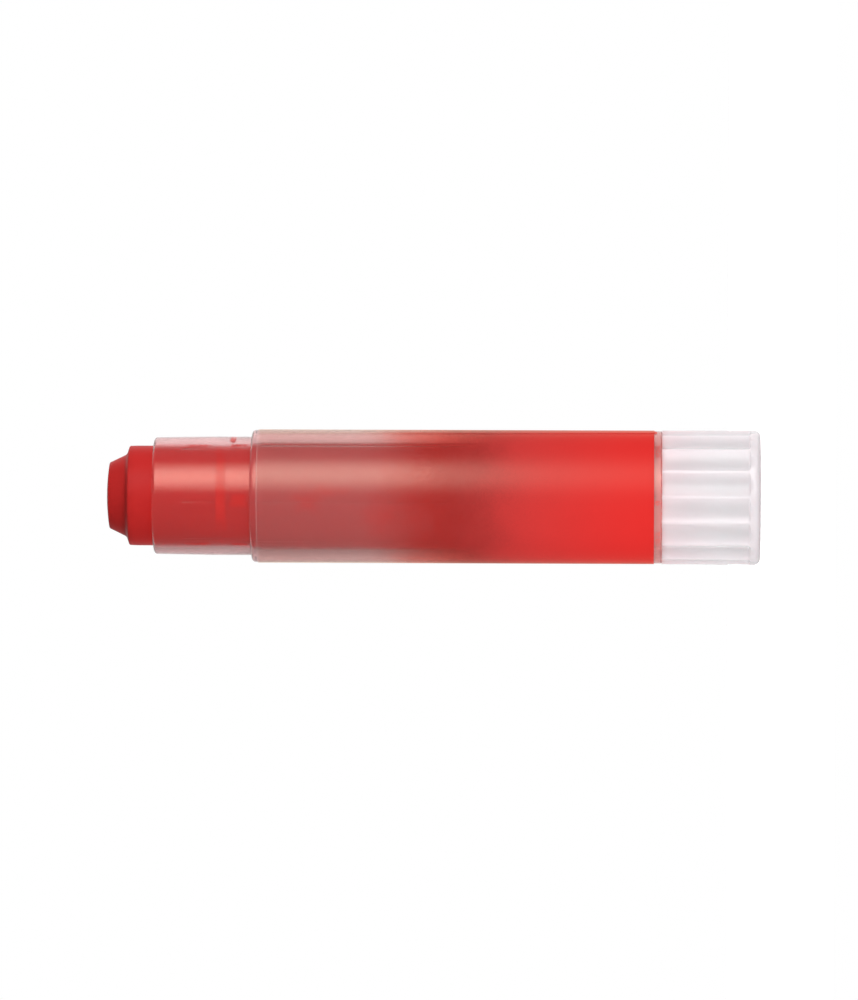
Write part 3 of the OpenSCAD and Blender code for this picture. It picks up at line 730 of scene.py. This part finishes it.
bm = bmesh.new()
touch = bm.verts.layers.float.new("touch")
for turn, height, halfArc, halfLength, strength, layer in s["smears"]:
    cells = set(bmesh.ops.create_grid(bm, x_segments=s["cells"], y_segments=s["cells"], size=1.0)["verts"])
    for vert in cells:
        u, v = vert.co.x, vert.co.y
        spot = Vector((s["wanderScale"] * u, s["wanderScale"] * v, s["wanderShift"] * layer))
        wander = 1 + s["wander"] * noise.noise(spot)
        faded = (1 - smooth(s["fadeArc"], 1, abs(u))) * (1 - smooth(s["fadeLength"], 1, abs(v)))
        vert[touch] = strength * faded
        z = height + v * wander * halfLength
        wall = boreAt(z) + s["sink"] + s["layer"] * layer if layer else b["outside"] + s["outSide"]
        vert.co = onRing(wall, turn + math.degrees(u * wander * halfArc / wall), z)
    sheet = [face for face in bm.faces if face.verts[0] in cells]
    for grown in bmesh.ops.extrude_face_region(bm, geom=sheet)["geom"]:
        if isinstance(grown, bmesh.types.BMVert):
            r, around, z = polar(grown)
            grown.co = onRing(r - s["thick"], around, z)
            grown[touch] = 0

# a thin ring of red grains lies in the joint between barrel and knob
joint = [(s["jointIn"], s["jointLow"]), (s["jointOut"], s["jointLow"]),
         (s["jointOut"], s["jointHigh"]), (s["jointIn"], s["jointHigh"])]
verts = [bm.verts.new(onRing(r, 0, z)) for r, z in joint]
for vert in verts:
    vert[touch] = s["jointTouch"]
spinRound(bm, verts, True, s["jointSteps"])
finishPiece(bm, "wall_residue", "barrel", None, [smearedPigment], sharpAngle=50)

# the veil lines the bore, clear of the carrier's keys
rows = s["veilRows"]
heights = [s["veilLow"] + i * (s["veilHigh"] - s["veilLow"]) / rows for i in range(rows + 1)]
bm = bmesh.new()
touch = bm.verts.layers.float.new("touch")
bmesh.ops.create_circle(bm, segments=s["veilSteps"], radius=b["bore"] * mm)
for vert in bm.verts:
    _, turn, _ = polar(vert)
    vert.co = onRing(boreAt(heights[0]) - s["veilGap"], turn, heights[0])
edges = firstEdges = bm.edges[:]
for height, thick in [(h, 0.0) for h in heights[1:]] + [(h, s["veilThick"]) for h in reversed(heights)]:
    ring, edges = growRing(bm, edges)
    for vert in ring:
        _, turn, _ = polar(vert)
        vert.co = onRing(boreAt(height) - s["veilGap"] - thick, turn, height)
bmesh.ops.bridge_loops(bm, edges=firstEdges + edges)
tidyMesh(bm)
for vert in bm.verts:
    _, turn, z = polar(vert)
    ragged = (0.5 * noise.noise(Vector((turn / 9, z * 0.6, 7.0)))  # broad tongues and finer ones
              + 0.25 * noise.noise(Vector((turn / 4, z * 1.4, 7.0))))
    for middleTurn, height, halfArc, halfLength, strength in s["touches"]:
        u = ((turn - middleTurn + 180) % 360 - 180) * math.radians(1) * b["bore"] / halfArc
        v = (z - height) / halfLength
        faded = 1 - smooth(*s["touchFade"], math.hypot(u, v) + ragged)
        vert[touch] = max(vert[touch], strength * faded)
finishPiece(bm, "bore_veil", "barrel", None, [thinPigment], sharpAngle=50)


# the carrier cup holds the pigment's foot, with a nut inside and four keys outside
carrier = {
    "radius": 6.0, "low": 24.4, "floor": 25.6, "top": 30.6, "bore": 5.4, "edge": 0.1, "steps": 144,
    "nut": 3.3, "nutTop": 27.8, "thread": 2.42,
    "keys": 4, "keyHalf": 5.2, "keyTop": 26.4, "keyRadius": 6.28,
}
c = carrier
bm = lathe([
    (c["radius"], c["low"]), (c["radius"], c["top"]), (c["bore"], c["top"]), (c["bore"], c["floor"]),
    (c["nut"], c["floor"]), (c["nut"], c["nutTop"]), (c["thread"], c["nutTop"]), (c["thread"], c["low"]),
], c["steps"])
cutAcross(bm, c["keyTop"])


def inKey(face):
    middle = face.calc_center_median()
    away = abs(math.degrees(math.atan2(middle.y, middle.x)) % (360 / c["keys"]) - 180 / c["keys"])
    outside = all(polar(v)[0] > c["radius"] - slack for v in face.verts)
    return away < c["keyHalf"] and middle.z < c["keyTop"] * mm and outside


keyFaces = [face for face in bm.faces if inKey(face)]
for grown in bmesh.ops.extrude_face_region(bm, geom=keyFaces)["geom"]:
    if isinstance(grown, bmesh.types.BMVert):
        _, turn, z = polar(grown)
        grown.co = onRing(c["keyRadius"], turn, z)
roundRing(bm, c["radius"], c["top"], c["edge"], segments=2)
tidyMesh(bm)
finishPiece(bm, "carrier_body", "carriage", "carrier_cup", [whitePlastic])


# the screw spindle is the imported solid, in moulded white
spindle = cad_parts["screw_spindle"]
spindle.data.materials.clear()
spindle.data.materials.append(whitePlastic)
print("screw spindle dressed")
